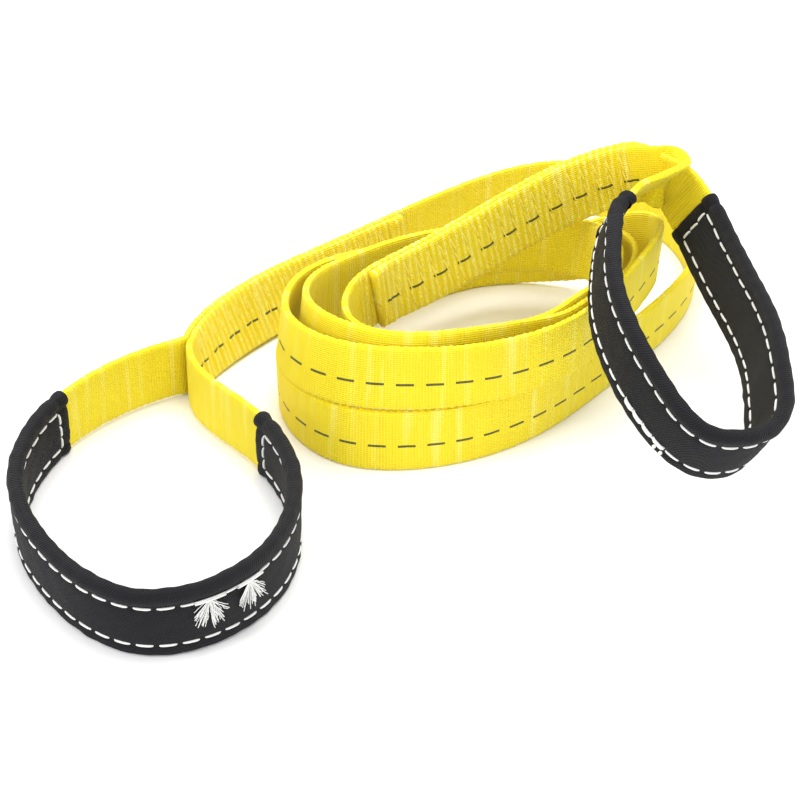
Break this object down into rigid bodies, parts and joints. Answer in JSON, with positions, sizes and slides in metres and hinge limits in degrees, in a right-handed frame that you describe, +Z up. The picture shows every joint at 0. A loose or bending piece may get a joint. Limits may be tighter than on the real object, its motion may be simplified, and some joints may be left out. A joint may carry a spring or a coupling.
{
  "type": "web sling",
  "caption": "Flat webbing lifting sling with a sleeved eye at each end, laid in a loose coil on its edge, one eye standing beside it and one hanging over it",
  "frame": {"origin": "on the resting surface under the middle of the sling's bounding box", "axes": "+Z up from the resting surface; +Y away from the eye that hangs over the coil, along the longest extent; +X from the standing eye towards the hanging eye"},
  "size_m": [0.2842, 0.2933, 0.0833],
  "materials": {
    "webbing": "woven polyester, satin",
    "splice_thread": "polyester sewing thread",
    "sleeve": "twill woven polyester, matt",
    "white_thread": "polyester sewing thread"
  },
  "bodies": {
    "coil": {"coil_webbing": "webbing", "right_splice_lap": "webbing", "right_splice_stitching": "splice_thread"},
    "tail": {"tail_webbing": "webbing", "left_splice_lap": "webbing", "left_splice_stitching": "splice_thread"},
    "left_eye": {"left_eye_webbing": "webbing", "left_sleeve": "sleeve", "left_sleeve_stitching": "white_thread", "left_thread_tufts": "white_thread"},
    "right_eye": {"right_eye_webbing": "webbing", "right_sleeve": "sleeve", "right_sleeve_stitching": "white_thread", "right_backtack": "white_thread"}
  },
  "joints": [
    {"name": "tail_swing", "type": "hinge", "parent": "coil", "child": "tail", "pos_m": [0.02368, 0.12393, 0.0127], "axis": [0, 0, 1], "range_deg": [-35, 5], "stiffness_Nm_per_rad": 0.02},
    {"name": "left_eye_swing", "type": "hinge", "parent": "tail", "child": "left_eye", "pos_m": [-0.08281, 0.00833, 0.0127], "axis": [0, 0, 1], "range_deg": [-10, 8], "stiffness_Nm_per_rad": 0.01},
    {"name": "right_eye_swing", "type": "hinge", "parent": "coil", "child": "right_eye", "pos_m": [0.09876, 0.06361, 0.07], "axis": [0, 0, 1], "range_deg": [0, 25], "stiffness_Nm_per_rad": 0.01}
  ]
}
